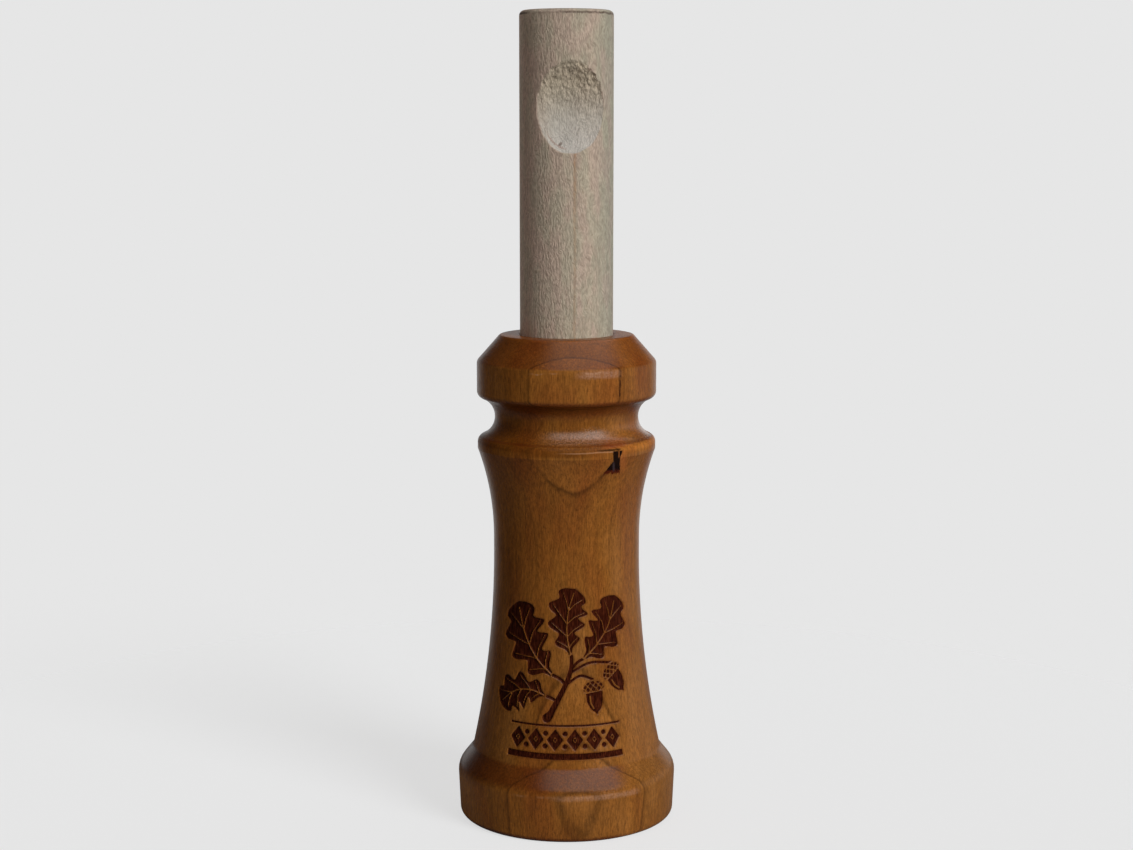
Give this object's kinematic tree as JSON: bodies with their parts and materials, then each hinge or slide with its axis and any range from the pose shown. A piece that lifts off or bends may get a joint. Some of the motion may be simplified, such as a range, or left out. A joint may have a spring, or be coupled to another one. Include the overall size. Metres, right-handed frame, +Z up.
{
  "type": "bird call",
  "caption": "Turned wooden bird call: a bell-footed barrel with a lanyard groove under its collar, and a dished dowel mouthpiece that holds a flat reed on a toneboard.",
  "frame": {"origin": "centre of the foot's rim, on the call's long axis, at the plane it stands on", "axes": "+Z up the long axis from the bell foot to the mouthpiece's end, -Y towards the side with the dish"},
  "size_m": [0.0378, 0.0378, 0.1384],
  "materials": {
    "stained_cherry": "satin lacquer",
    "maple_dowel": "bare, sanded",
    "seal_rubber": "matte",
    "toneboard_plastic": "satin",
    "reed_film": "frosted",
    "wedge_cork": "raw cork"
  },
  "bodies": {
    "barrel": {"barrel": "stained_cherry"},
    "seal_rings": {"lower_seal_ring": "seal_rubber", "upper_seal_ring": "seal_rubber"},
    "mouthpiece": {"mouthpiece": "maple_dowel"},
    "reed_unit": {"toneboard": "toneboard_plastic", "reed_wedge": "wedge_cork", "reed_unit_ring": "seal_rubber"},
    "reed": {"reed": "reed_film"}
  },
  "joints": [
    {"name": "mouthpiece_pull", "type": "slide", "parent": "barrel", "child": "seal_rings", "axis": [0, 0, 1], "range_m": [0, 0.062]},
    {"name": "mouthpiece_twist", "type": "hinge", "parent": "seal_rings", "child": "mouthpiece", "pos_m": [0, 0, 0.06207], "axis": [0, 0, 1], "continuous": true},
    {"name": "reed_unit_pull", "type": "slide", "parent": "mouthpiece", "child": "reed_unit", "axis": [0, 0, -1], "range_m": [0, 0.036]},
    {"name": "reed_flex", "type": "hinge", "parent": "reed_unit", "child": "reed", "pos_m": [0, 0.00022, 0.07107], "axis": [1, 0, 0], "range_deg": [-4, 2], "stiffness_Nm_per_rad": 0.02, "deforming": ["reed"]}
  ]
}
